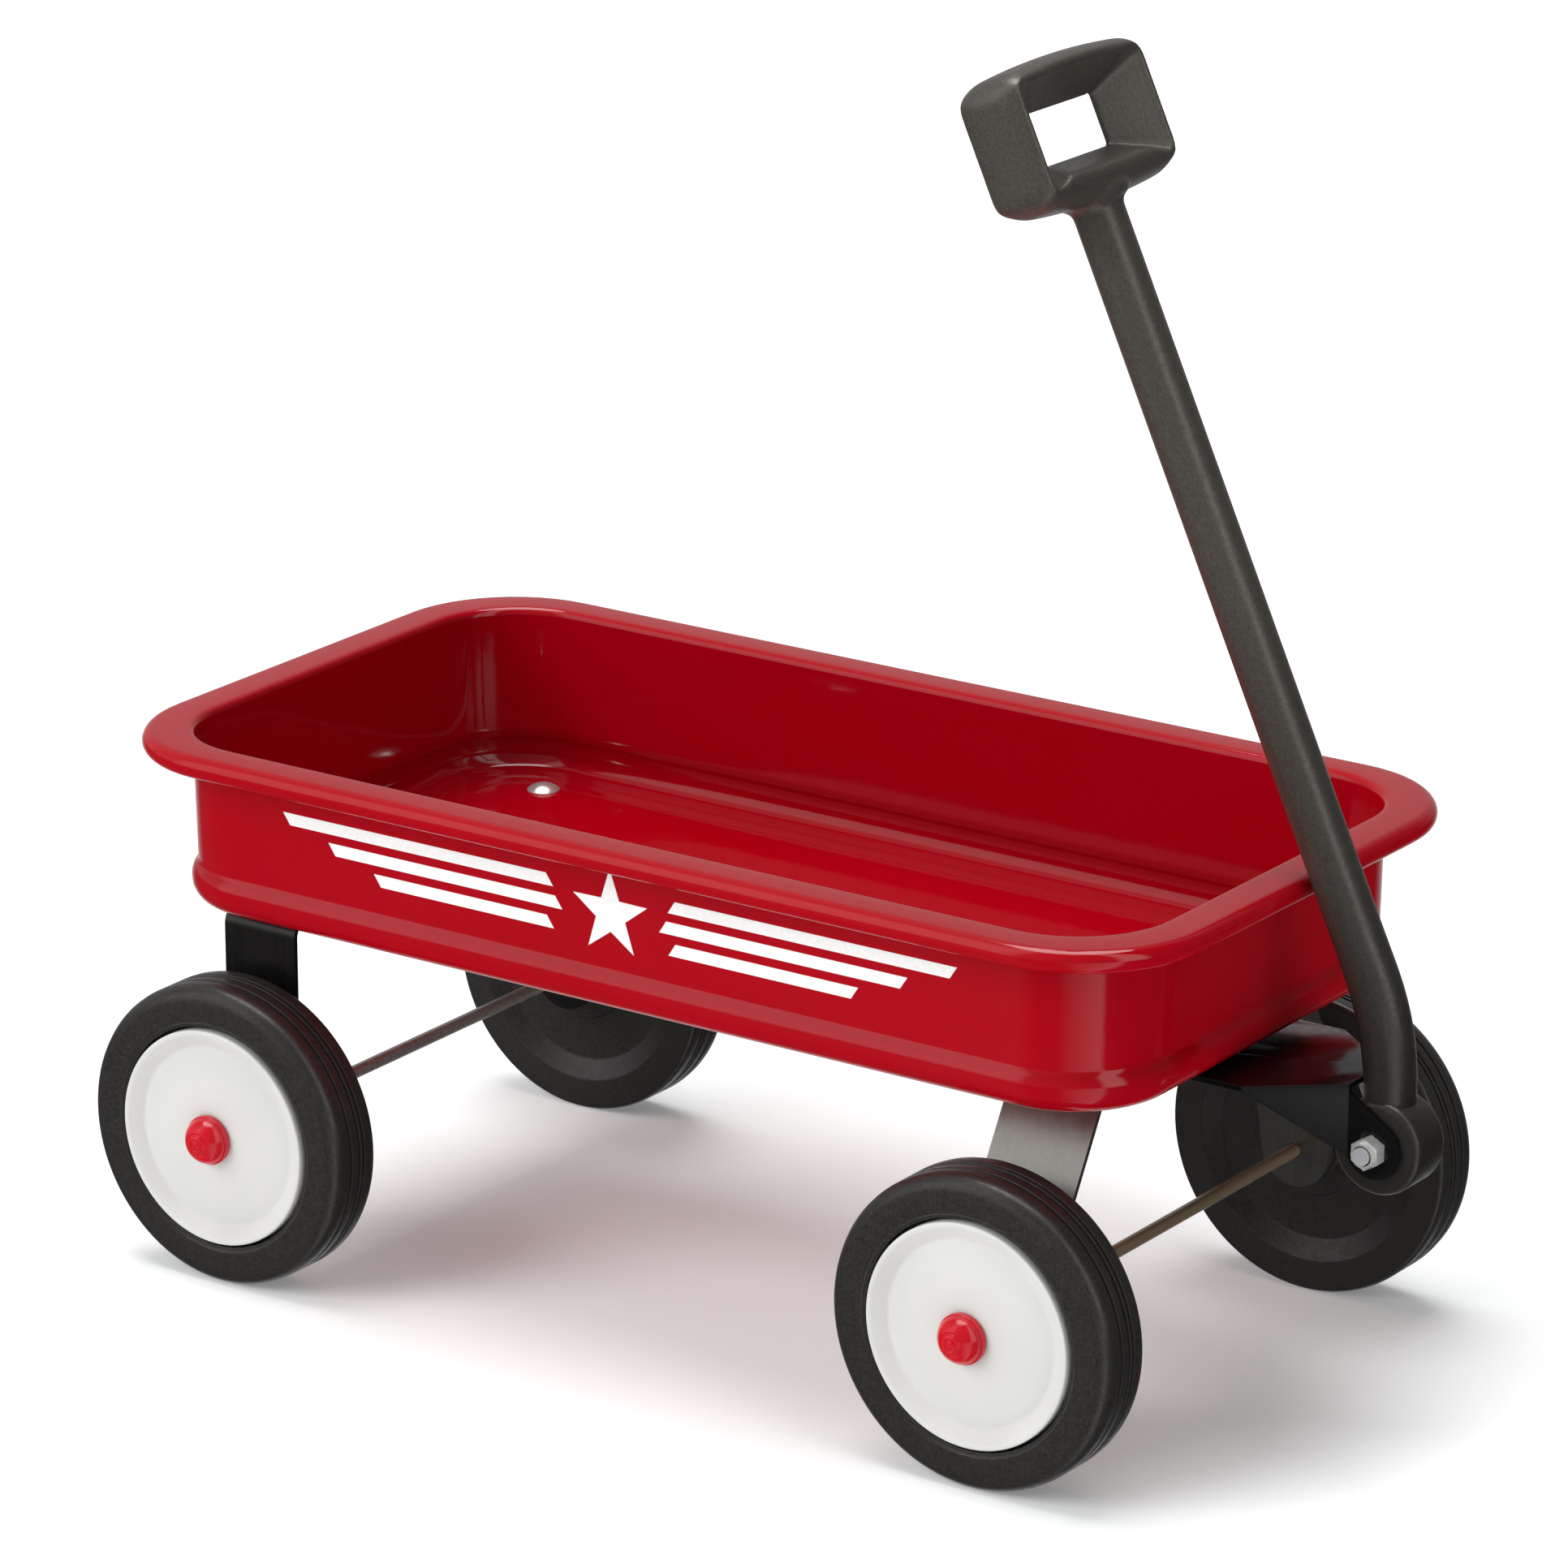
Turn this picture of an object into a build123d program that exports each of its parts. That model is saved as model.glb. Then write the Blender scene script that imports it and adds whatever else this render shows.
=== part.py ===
"""Toy pull wagon: a pressed steel tray on two strap-steel bolsters, four moulded wheels and a pull handle.

Frame: +X points forward to the handle, +Y to the wagon's left, +Z up, z = 0 is the floor.
The origin is under the middle of the whole wagon. All sizes are in millimetres.
"""
from build123d import *
from math import asin, atan2, cos, degrees, radians, sin
import os

os.makedirs("parts", exist_ok=True)

# ---------------------------------------------------------------- driving dimensions
wheel_radius = 45.0  # a 90 mm wheel
wheelbase = 259.0
tray_length = 351.2  # over the rolled rim
tray_width = 188.6
tray_forward = 1.1  # middle of the tray ahead of the middle of the wheelbase
tray_underside = 105.9
rim_top = 157.2
pivot_ahead = 202.0  # handle pivot ahead of the middle of the wheelbase
pivot_z = 86.5
hub_radius = 13.65
handle_lean = 24.5  # degrees back from upright

# the origin sits midway between the back of the rim and the front of the handle's hub
wheelbase_x = -(pivot_ahead + hub_radius + tray_forward - tray_length / 2) / 2
tray_x = wheelbase_x + tray_forward
pivot_x = wheelbase_x + pivot_ahead
axle_x = {"front": wheelbase_x + wheelbase / 2, "rear": wheelbase_x - wheelbase / 2}
axle_z = wheel_radius
sides = {"left": 1, "right": -1}

clearance = 0.15  # between a fastener and its hole


def side_plane(y=0.0):
    """An upright plane seen from the wagon's right: local x is forward, local y is up."""
    return Plane(origin=(0, y, 0), x_dir=(1, 0, 0), z_dir=(0, -1, 0))


def front_plane(x=0.0):
    """An upright plane seen from the front: local x is to the wagon's left, local y is up."""
    return Plane(origin=(x, 0, 0), x_dir=(0, 1, 0), z_dir=(1, 0, 0))


def wheel_plane(x, side):
    """A level plane through an axle: local x is a radius, local y runs outward along the axle."""
    return Plane(origin=(x, 0, axle_z), x_dir=(1, 0, 0), z_dir=(0, 0, side))


def post_plane(x, y):
    """An upright plane through a vertical fastener: local x is a radius, local y is the height."""
    return Plane(origin=(x, y, 0), x_dir=(1, 0, 0), z_dir=(0, -1, 0))


def save(piece, name):
    """Label a finished piece and write it as its own node."""
    piece.part.label = name
    export_step(piece.part, f"parts/{name}.step")


# ---------------------------------------------------------------- tray
tray_sheet = 0.9
wall_draft = 1.2  # degrees
foot_length = 326.8  # over the rounded foot of the walls
foot_width = 166.0
foot_corner = 30.4
foot_height = 13.8
foot_round = 6.6
foot_step = 2.1  # the wall stands this far inside the foot
rim_corner = 38.5
rim_roll = 3.4  # radius of the rolled edge
rim_inner_round = 2.0
bolt_radius = 2.5  # 5 mm bolts throughout
bolt_hole = bolt_radius + clearance
bolster_bolt_y = 62.6
seat_radius = 5.3  # shallow seat pressed into the floor for each bolt's head
seat_depth = 0.2

wall_top = rim_top - tray_sheet
roll_length = tray_length - 2 * rim_roll
roll_width = tray_width - 2 * rim_roll
roll_corner = rim_corner - rim_roll
roll_z = rim_top - rim_roll
floor_top = tray_underside + tray_sheet


def pan_form(inset, top):
    """The pan as a solid, with every face set in by inset; walls reach up to top."""
    with BuildPart() as form:
        with BuildSketch(Plane.XY.offset(tray_underside + inset)):
            with Locations((tray_x, 0)):
                RectangleRounded(foot_length - 2 * inset, foot_width - 2 * inset, foot_corner - inset)
        extrude(amount=foot_height - 2 * inset)
        fillet(form.faces().filter_by(Axis.Z).edges(), foot_round - inset)
        wall_inset = foot_step + inset
        with BuildSketch(Plane.XY.offset(tray_underside + foot_round)):
            with Locations((tray_x, 0)):
                RectangleRounded(foot_length - 2 * wall_inset, foot_width - 2 * wall_inset,
                                 foot_corner - wall_inset)
        extrude(amount=top - tray_underside - foot_round, taper=-wall_draft)
    return form.part


pan_outside = pan_form(0, wall_top)
pan_inside = pan_form(tray_sheet, rim_top)

with BuildSketch(Plane.XY.offset(roll_z)) as roll_outline:
    with Locations((tray_x, 0)):
        RectangleRounded(roll_length, roll_width, roll_corner)
roll_path = roll_outline.face().outer_wire()

with BuildPart() as tray:
    # the flat flange out to the crown of the rolled edge
    with BuildSketch(Plane.XY.offset(wall_top)):
        with Locations((tray_x, 0)):
            RectangleRounded(roll_length, roll_width, roll_corner)
    extrude(amount=tray_sheet)
    # the pan, opened through the flange
    add(pan_outside)
    add(pan_inside, mode=Mode.SUBTRACT)
    mouth = tray.faces().sort_by(Axis.Z)[-1].inner_wires()[0]
    fillet(mouth.edges(), rim_inner_round)
    # the edge rolled outward and under
    with BuildSketch(front_plane(tray_x)):
        with Locations((roll_width / 2, roll_z)):
            Circle(rim_roll)
            Circle(rim_roll - tray_sheet, mode=Mode.SUBTRACT)
        with Locations((roll_width / 2 - rim_roll, roll_z)):
            Rectangle(2 * rim_roll, 2 * rim_roll, mode=Mode.SUBTRACT)
    sweep(path=roll_path)
    # holes for the king bolt and the two rear bolster bolts, each with a seat that takes the head
    floor_bolts = [(axle_x["front"], 0), *[(axle_x["rear"], side * bolster_bolt_y) for side in (1, -1)]]
    for height, radius in ((tray_underside, bolt_hole), (floor_top - seat_depth, seat_radius)):
        with BuildSketch(Plane.XY.offset(height)):
            with Locations(*floor_bolts):
                Circle(radius)
        extrude(amount=2 * tray_sheet, mode=Mode.SUBTRACT)
save(tray, "tray")

# ---------------------------------------------------------------- bolsters: bent strap carrying the axles
strap = 1.5
leg_face_y = 73.6  # outer face of every upright leg
leg_foot_radius = 11.0
leg_taper_top = 70.0
bend_radius = 5.0
axle_radius = 2.0
axle_hole = axle_radius + clearance
rear_strap_width = 25.4
front_strap_width = 29.5
front_web_top = 102.4
front_shoulder_y = 53.9  # where the front strap turns down into its splayed legs
front_knee_z = 68.3  # where the splayed legs turn upright
rivet_y = 16.0
rivet_radius = 2.0
rivet_hole = rivet_radius + clearance
rivet_head_radius = 3.2
rivet_head = 1.0
rivet_rim = 0.6  # height of the head at its edge


def bolster(x, width, half_outline, bolt_places, bolt_size):
    """A strap bent into a saddle: half_outline runs from the middle of its web down to one foot."""
    outline = [(-y, z) for y, z in reversed(half_outline)] + half_outline
    with BuildPart() as saddle:
        with BuildSketch(front_plane(x)):
            with BuildLine():
                FilletPolyline(*outline, radius=bend_radius)
                offset(amount=strap, side=Side.RIGHT)
            make_face()
        extrude(amount=width / 2, both=True)
        # each leg narrows to a round foot about the axle
        with BuildSketch(side_plane()):
            with Locations((x, (rim_top + leg_taper_top) / 2)):
                Rectangle(width, rim_top - leg_taper_top)
            with Locations((x, axle_z)):
                Circle(leg_foot_radius)
            Polygon((x - width / 2, leg_taper_top), (x + width / 2, leg_taper_top),
                    (x + leg_foot_radius, axle_z), (x - leg_foot_radius, axle_z), align=None)
        extrude(amount=tray_width / 2, both=True, mode=Mode.INTERSECT)
        with BuildSketch(side_plane()):
            with Locations((x, axle_z)):
                Circle(axle_hole)
        extrude(amount=tray_width / 2, both=True, mode=Mode.SUBTRACT)
        with BuildSketch(Plane.XY.offset(leg_taper_top)):
            for place, radius in zip(bolt_places, bolt_size):
                with Locations((x, place)):
                    Circle(radius)
        extrude(amount=rim_top - leg_taper_top, mode=Mode.SUBTRACT)
    return saddle


rear_bolster = bolster(axle_x["rear"], rear_strap_width,
                       [(leg_face_y, tray_underside), (leg_face_y, axle_z - leg_foot_radius)],
                       [bolster_bolt_y, -bolster_bolt_y], [bolt_hole, bolt_hole])
save(rear_bolster, "rear_bolster")

front_bolster = bolster(axle_x["front"], front_strap_width,
                        [(front_shoulder_y, front_web_top), (leg_face_y, front_knee_z),
                         (leg_face_y, axle_z - leg_foot_radius)],
                        [0, rivet_y, -rivet_y], [bolt_hole, rivet_hole, rivet_hole])
save(front_bolster, "front_bolster")

# ---------------------------------------------------------------- steering tongue: plate with two folded ears
tongue_sheet = 1.6
tongue_half_width = 27.0
tongue_back = 22.0  # behind the king bolt
nose_setback = 7.5  # the handle's shaft rests against the nose of the plate
taper_length = 22.9  # the plate narrows to the ears over this length
tongue_corner = 4.0
ear_gap = 15.2  # between the ears
ear_radius = 8.3
ear_face_y = ear_gap / 2 + tongue_sheet
tongue_top = front_web_top + tongue_sheet
flange_shoulder_z = 101.4
ear_top_angle = 57.2  # where the sloping edges meet the round end of the ear, in degrees
ear_front_angle = -50.0
ear_bottom_angle = -157.0

tongue_nose = pivot_x - nose_setback
tongue_taper_x = tongue_nose - taper_length

taper_angle = atan2(tongue_half_width - ear_face_y, tongue_nose - tongue_taper_x)
inner_taper_x = tongue_taper_x - tongue_sheet * sin(taper_angle)
inner_taper_y = tongue_half_width - tongue_sheet * cos(taper_angle)
inner_nose_x = inner_taper_x + (inner_taper_y - ear_gap / 2) / (tongue_half_width - ear_face_y) * (
    tongue_nose - tongue_taper_x)
ear_end_x = pivot_x + ear_radius + 1

with BuildPart() as steering_tongue:
    # one folded side flange: a slanted panel running into an ear that lies along the wagon
    with BuildSketch(Plane.XY.offset(pivot_z - 2 * ear_radius)):
        Polygon((inner_taper_x, inner_taper_y), (tongue_taper_x, tongue_half_width),
                (tongue_nose, ear_face_y), (ear_end_x, ear_face_y), (ear_end_x, ear_gap / 2),
                (inner_nose_x, ear_gap / 2), align=None)
    extrude(amount=tongue_top - pivot_z + 2 * ear_radius)
    with BuildSketch(side_plane()):
        with BuildLine():
            shoulder = (tongue_nose, flange_shoulder_z)
            ear_top = PolarLine((pivot_x, pivot_z), ear_radius, ear_top_angle, mode=Mode.PRIVATE) @ 1
            ear_bottom = PolarLine((pivot_x, pivot_z), ear_radius, ear_bottom_angle, mode=Mode.PRIVATE) @ 1
            ear_front = PolarLine((pivot_x, pivot_z), ear_radius, ear_front_angle, mode=Mode.PRIVATE) @ 1
            Polyline(ear_bottom, (tongue_taper_x, front_web_top), (tongue_taper_x, tongue_top),
                     (tongue_nose, tongue_top), shoulder, ear_top)
            ThreePointArc(ear_top, ear_front, ear_bottom)
        make_face()
    extrude(amount=-tongue_half_width - 1, mode=Mode.INTERSECT)
    mirror(about=Plane.XZ)
    # the flat plate over the bolster
    with BuildSketch(Plane.XY.offset(front_web_top)):
        back_x = axle_x["front"] - tongue_back
        Polygon((back_x, -tongue_half_width), (tongue_taper_x, -tongue_half_width),
                (tongue_nose, -ear_face_y), (tongue_nose, ear_face_y), (tongue_taper_x, tongue_half_width),
                (back_x, tongue_half_width), align=None)
        with Locations((axle_x["front"], 0)):
            Circle(bolt_hole, mode=Mode.SUBTRACT)
        with Locations((axle_x["front"], rivet_y), (axle_x["front"], -rivet_y)):
            Circle(rivet_hole, mode=Mode.SUBTRACT)
    extrude(amount=tongue_sheet)
    fillet(steering_tongue.edges().filter_by(Axis.Z).group_by(Axis.X)[0], tongue_corner)
    # the pivot bolt's holes
    with BuildSketch(side_plane()):
        with Locations((pivot_x, pivot_z)):
            Circle(bolt_hole)
    extrude(amount=tongue_half_width, both=True, mode=Mode.SUBTRACT)
save(steering_tongue, "steering_tongue")

with BuildPart() as tongue_rivets:
    for side in sides.values():
        place_y = side * rivet_y
        with BuildSketch(post_plane(axle_x["front"], place_y)):
            low = front_web_top - strap
            Polygon((0, low - rivet_head), (rivet_head_radius, low - rivet_rim), (rivet_head_radius, low),
                    (rivet_radius, low), (rivet_radius, tongue_top), (rivet_head_radius, tongue_top),
                    (rivet_head_radius, tongue_top + rivet_rim), (0, tongue_top + rivet_head), align=None)
        revolve(axis=Axis((axle_x["front"], place_y, 0), (0, 0, 1)))
save(tongue_rivets, "tongue_rivets")

# ---------------------------------------------------------------- bolts, nuts and washers
head_radius = 4.9
head_height = 2.4
head_dome = 7.3
nut_flats = 8.0
nut_height = 4.0
nylon_height = 1.2
nylon_radius = 3.4
washer_radius = 5.0
washer_height = 1.0
king_washer_radius = 6.0
spacer_radius = 10.0
tip_chamfer = 0.4
bolt_overrun = 0.8  # how far a bolt reaches past its nut


def carriage_bolt(x, y, seat_z, tip_z):
    """Add a domed bolt, head up: seat_z is under its head, tip_z its lower end."""
    with BuildSketch(post_plane(x, y)) as section:
        with BuildLine():
            dome_half = degrees(asin(head_radius / head_dome))
            dome = JernArc((0, seat_z + head_height), (1, 0), head_dome, -dome_half)
            Polyline(dome @ 1, (head_radius, seat_z), (bolt_radius, seat_z),
                     (bolt_radius, tip_z + tip_chamfer), (bolt_radius - tip_chamfer, tip_z), (0, tip_z),
                     (0, seat_z + head_height))
        make_face()
    revolve(section.sketch, axis=Axis((x, y, 0), (0, 0, 1)))


def washer(plane, inner, outer, height):
    """Add a flat washer standing on plane."""
    with BuildSketch(plane) as ring:
        Circle(outer)
        Circle(inner, mode=Mode.SUBTRACT)
    extrude(ring.sketch, amount=height)


def lock_nut(plane):
    """Add a hexagon nut with a nylon collar, seated on plane and pointing along it."""
    with BuildSketch(plane) as hexagon:
        RegularPolygon(nut_flats / 2, 6, major_radius=False)
        Circle(bolt_radius + clearance / 2, mode=Mode.SUBTRACT)
    extrude(hexagon.sketch, amount=nut_height)
    washer(plane.offset(nut_height), bolt_radius + clearance / 2, nylon_radius, nylon_height)


rear_bolt_places = [(axle_x["rear"], side * bolster_bolt_y) for side in sides.values()]
head_seat = floor_top - seat_depth
rear_nut_seat = tray_underside - strap - washer_height

with BuildPart() as rear_bolster_bolts:
    for x, y in rear_bolt_places:
        carriage_bolt(x, y, head_seat, rear_nut_seat - nut_height - nylon_height - bolt_overrun)
save(rear_bolster_bolts, "rear_bolster_bolts")

with BuildPart() as rear_bolster_washers:
    for x, y in rear_bolt_places:
        washer(Plane(origin=(x, y, rear_nut_seat)), bolt_hole, washer_radius, washer_height)
save(rear_bolster_washers, "rear_bolster_washers")

with BuildPart() as rear_bolster_nuts:
    for x, y in rear_bolt_places:
        lock_nut(Plane(origin=(x, y, rear_nut_seat), x_dir=(1, 0, 0), z_dir=(0, 0, -1)))
save(rear_bolster_nuts, "rear_bolster_nuts")

king_nut_seat = front_web_top - strap - clearance - washer_height

with BuildPart() as king_bolt:
    carriage_bolt(axle_x["front"], 0, head_seat, king_nut_seat - nut_height - nylon_height - bolt_overrun)
save(king_bolt, "king_bolt")

with BuildPart() as king_spacer:
    washer(Plane(origin=(axle_x["front"], 0, tongue_top + clearance)), bolt_hole, spacer_radius,
           tray_underside - tongue_top - clearance)
save(king_spacer, "king_spacer")

with BuildPart() as king_washer:
    washer(Plane(origin=(axle_x["front"], 0, king_nut_seat)), bolt_hole, king_washer_radius, washer_height)
save(king_washer, "king_washer")

with BuildPart() as king_nut:
    lock_nut(Plane(origin=(axle_x["front"], 0, king_nut_seat), x_dir=(1, 0, 0), z_dir=(0, 0, -1)))
save(king_nut, "king_nut")

pivot_tip_y = ear_face_y + nut_height + nylon_height + bolt_overrun
pivot_head_round = 1.6
socket_flats = 3.0
socket_depth = 1.4

with BuildPart() as pivot_bolt:
    with BuildSketch(side_plane(-pivot_tip_y)):
        with Locations((pivot_x, pivot_z)):
            Circle(bolt_radius)
    extrude(amount=-pivot_tip_y - ear_face_y)
    with BuildSketch(side_plane(ear_face_y)):
        with Locations((pivot_x, pivot_z)):
            Circle(head_radius)
    extrude(amount=-head_height)
    fillet(pivot_bolt.faces().sort_by(Axis.Y)[-1].edges(), pivot_head_round)
    with BuildSketch(side_plane(ear_face_y + head_height)):
        with Locations((pivot_x, pivot_z)):
            RegularPolygon(socket_flats / 2, 6, major_radius=False)
    extrude(amount=socket_depth, mode=Mode.SUBTRACT)
save(pivot_bolt, "pivot_bolt")

with BuildPart() as pivot_nut:
    lock_nut(Plane(origin=(pivot_x, -ear_face_y, pivot_z), x_dir=(0, 0, 1), z_dir=(0, -1, 0)))
save(pivot_nut, "pivot_nut")

sleeve_radius = 4.0

with BuildPart() as pivot_sleeve:
    washer(Plane(origin=(pivot_x, -ear_gap / 2, pivot_z), x_dir=(1, 0, 0), z_dir=(0, 1, 0)), bolt_hole,
           sleeve_radius, ear_gap)
save(pivot_sleeve, "pivot_sleeve")

# ---------------------------------------------------------------- wheels and axles
wheel_width = 18.4
wheel_outer = 97.0  # outer face of the tyre from the wagon's middle
wheel_inner = wheel_outer - wheel_width
outer_shoulder = 4.5
inner_shoulder = 1.8
groove_depth = 0.9
groove_width = 1.1
groove_places = [wheel_outer - 7.2, wheel_outer - 11.0, wheel_outer - 12.9]
running_gap = 0.1  # between a turning wheel and the pieces beside it
bore_radius = axle_radius + 2 * running_gap
boss_radius = 7.0
boss_flare = 3.0  # the boss grows by this much towards the web
boss_end = 76.2
pocket_radius = 30.2
web_inner = 81.5
web_outer = 84.5
hub_step_radius = 16.0
hub_step = 1.2
wall_slope = 5.0  # between the web and the inner face of the tyre
rib_count = 6
rib_sheet = 2.0
rib_height = 4.5

disc_radius = 32.2
disc_gap = 1.0
disc_lip = 97.6
lip_width = 1.6
lip_bevel = 0.5
disc_valley = 94.6  # the bottom of the dished ring
valley_radius = 26.8
crown_height = 3.3  # the middle of the disc bulges out again by this much
disc_seat = 92.6
disc_sheet = 1.6
disc_hole = axle_radius + 0.4
skirt_end = 90.0
crown_radius = (valley_radius**2 + crown_height**2) / (2 * crown_height)

axle_tip = 101.4
cap_base = disc_valley + crown_height + 0.15
cap_flange_radius = 7.3
cap_flange = 1.9
cap_radius = 6.8
cap_tip = 105.2
cap_spring = cap_base + 2.5  # where the dome springs from
cap_rise = cap_tip - cap_spring
cap_sphere = (cap_radius**2 + cap_rise**2) / (2 * cap_rise)
cap_wall = 1.3
push_nut_radius = 4.4
push_nut_height = 0.6
push_nut_place = cap_base + 1.0

for end in ("front", "rear"):
    with BuildPart() as axle:
        with BuildSketch(side_plane(-axle_tip)):
            with Locations((axle_x[end], axle_z)):
                Circle(axle_radius)
        extrude(amount=-2 * axle_tip)
        chamfer(axle.edges().filter_by(GeomType.CIRCLE), tip_chamfer)
    save(axle, f"{end}_axle")

    with BuildPart() as axle_washers:
        for side in sides.values():
            washer(Plane(origin=(axle_x[end], side * (leg_face_y + running_gap), axle_z), x_dir=(1, 0, 0),
                         z_dir=(0, side, 0)), axle_radius + clearance / 2, washer_radius,
                   boss_end - leg_face_y - 3 * running_gap)
    save(axle_washers, f"{end}_axle_washers")

    with BuildPart() as push_nuts:
        for side in sides.values():
            washer(Plane(origin=(axle_x[end], side * push_nut_place, axle_z), x_dir=(1, 0, 0),
                         z_dir=(0, side, 0)), axle_radius + clearance / 3, push_nut_radius, push_nut_height)
    save(push_nuts, f"{end}_push_nuts")

    for side_name, side in sides.items():
        place = f"{end}_{side_name}"
        spin_axis = Axis((axle_x[end], 0, axle_z), (0, 1, 0))
        across = wheel_plane(axle_x[end], side)

        with BuildPart() as wheel:
            with BuildSketch(across):
                Polygon((bore_radius, boss_end), (boss_radius + boss_flare, boss_end),
                        (boss_radius + boss_flare, web_inner - hub_step),
                        (hub_step_radius, web_inner - hub_step), (hub_step_radius, web_inner),
                        (pocket_radius, web_inner),
                        (pocket_radius + wall_slope, wheel_inner), (wheel_radius, wheel_inner),
                        (wheel_radius, wheel_outer), (disc_radius + disc_gap, wheel_outer),
                        (disc_radius + disc_gap, disc_seat), (pocket_radius, disc_seat),
                        (pocket_radius, web_outer), (boss_radius, web_outer), (boss_radius, disc_seat),
                        (bore_radius, disc_seat), align=None)
            revolve(axis=spin_axis)
            rim_edges = wheel.edges().filter_by(GeomType.CIRCLE).group_by(SortBy.RADIUS)[-1]
            outer_edge, inner_edge = rim_edges.sort_by(lambda edge: -abs(edge.center().Y))
            fillet(outer_edge, outer_shoulder)
            fillet(inner_edge, inner_shoulder)
            with BuildSketch(across):
                with Locations(*[(wheel_radius, w) for w in groove_places]):
                    Rectangle(2 * groove_depth, groove_width)
            revolve(axis=spin_axis, mode=Mode.SUBTRACT)
            with BuildSketch(Plane(origin=(axle_x[end], side * web_outer, axle_z), x_dir=(1, 0, 0),
                                   z_dir=(0, side, 0))):
                with PolarLocations((boss_radius + pocket_radius) / 2, rib_count):
                    Rectangle(pocket_radius - boss_radius + 1, rib_sheet)
            extrude(amount=rib_height)
        save(wheel, f"wheel_{place}")

        with BuildPart() as wheel_disc:
            with BuildSketch(across):
                with BuildLine():
                    crown_half = degrees(asin(valley_radius / crown_radius))
                    crown_edge = degrees(asin(disc_hole / crown_radius))
                    middle = disc_valley + crown_height - crown_radius
                    crown = CenterArc((0, middle), crown_radius, 90 - crown_half, crown_half - crown_edge)
                    under = CenterArc((0, middle), crown_radius - disc_sheet, 90 - crown_half,
                                      crown_half - crown_edge)
                    Polyline(crown @ 0, (disc_radius - lip_width, disc_lip),
                             (disc_radius - lip_bevel, disc_lip), (disc_radius, disc_lip - lip_bevel),
                             (disc_radius, disc_seat), (pocket_radius, disc_seat),
                             (pocket_radius, skirt_end), (pocket_radius - disc_sheet, skirt_end),
                             (pocket_radius - disc_sheet, disc_lip - 2 * disc_sheet), under @ 0)
                    Line(crown @ 1, under @ 1)
                make_face()
            revolve(axis=spin_axis)
        save(wheel_disc, f"wheel_disc_{place}")

        with BuildPart() as axle_cap:
            with BuildSketch(across):
                with BuildLine():
                    dome_half = degrees(asin(cap_radius / cap_sphere))
                    dome = JernArc((0, cap_tip), (1, 0), cap_sphere, -dome_half)
                    Polyline(dome @ 1, (cap_radius, cap_base + cap_flange),
                             (cap_flange_radius, cap_base + cap_flange), (cap_flange_radius, cap_base),
                             (cap_radius - cap_wall, cap_base), (cap_radius - cap_wall, cap_spring),
                             (0, cap_tip - cap_wall), (0, cap_tip))
                make_face()
            revolve(axis=spin_axis)
        save(axle_cap, f"axle_cap_{place}")

# ---------------------------------------------------------------- pull handle, one moulding
shaft_radius = 7.2
shaft_bend_z = 118.4  # where the upright foot and the leaning shaft would meet
shaft_bend_radius = 80.0
shaft_length = 236.0  # from that corner to the grip
hub_width = 14.7
sleeve_bore = sleeve_radius + clearance
grip_place = 21.0  # middle of the grip beyond the neck
grip_width = 67.2
grip_height = 40.3
grip_side_height = 38.4
grip_depth = 24.0
grip_corner = 9.2
grip_round = 8.5
window_back = 1.5  # the window lies this far behind the middle of the grip
window_width = 32.6
window_height = 15.4
funnel_lift = 1.1
funnel_front_width = 65.2
funnel_back_width = 66.4
funnel_height = 32.0
funnel_reach = 0.5
neck_radius = 10.5
neck_length = 5.0

lean = radians(handle_lean)
along = Vector(-sin(lean), 0, cos(lean))
facing = Vector(cos(lean), 0, sin(lean))
bend = Vector(pivot_x, 0, shaft_bend_z)
neck = bend + along * shaft_length
grip_plane = Plane(origin=neck + along * grip_place, x_dir=(0, 1, 0), z_dir=facing)

# the finger hole narrows from both faces to a window near its middle
hole_reach = grip_depth / 2 + funnel_reach


def hourglass(plane, window, front, back, lift):
    """A profile on plane that narrows from both faces to the window; local x faces forward."""
    with BuildSketch(plane) as profile:
        Polygon((-window_back, window / 2), (hole_reach, lift + front / 2), (hole_reach, lift - front / 2),
                (-window_back, -window / 2), (-hole_reach, lift - back / 2), (-hole_reach, lift + back / 2),
                align=None)
    return profile.sketch


seen_from_side = Plane(origin=grip_plane.origin, x_dir=facing, z_dir=(0, -1, 0))
seen_from_top = Plane(origin=grip_plane.origin, x_dir=facing, z_dir=along)

with BuildPart() as finger_hole:
    extrude(hourglass(seen_from_side, window_height, funnel_height, funnel_height, funnel_lift),
            amount=grip_width, both=True)
    extrude(hourglass(seen_from_top, window_width, funnel_front_width, funnel_back_width, 0),
            amount=grip_height, both=True, mode=Mode.INTERSECT)

# the grip: a rounded block
with BuildPart() as grip:
    with BuildSketch(grip_plane.offset(-grip_depth / 2)) as grip_outline:
        with BuildLine():
            half_width, half_height, half_side = grip_width / 2, grip_height / 2, grip_side_height / 2
            ThreePointArc((-half_width, half_side), (0, half_height), (half_width, half_side))
            Line((half_width, half_side), (half_width, -half_side))
            ThreePointArc((half_width, -half_side), (0, -half_height), (-half_width, -half_side))
            Line((-half_width, -half_side), (-half_width, half_side))
        make_face()
        fillet(grip_outline.vertices(), grip_corner)
    extrude(amount=grip_depth)
    fillet(grip.faces().filter_by(Axis(grip_plane.origin, facing)).edges(), grip_round)
    add(finger_hole, mode=Mode.SUBTRACT)

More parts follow.
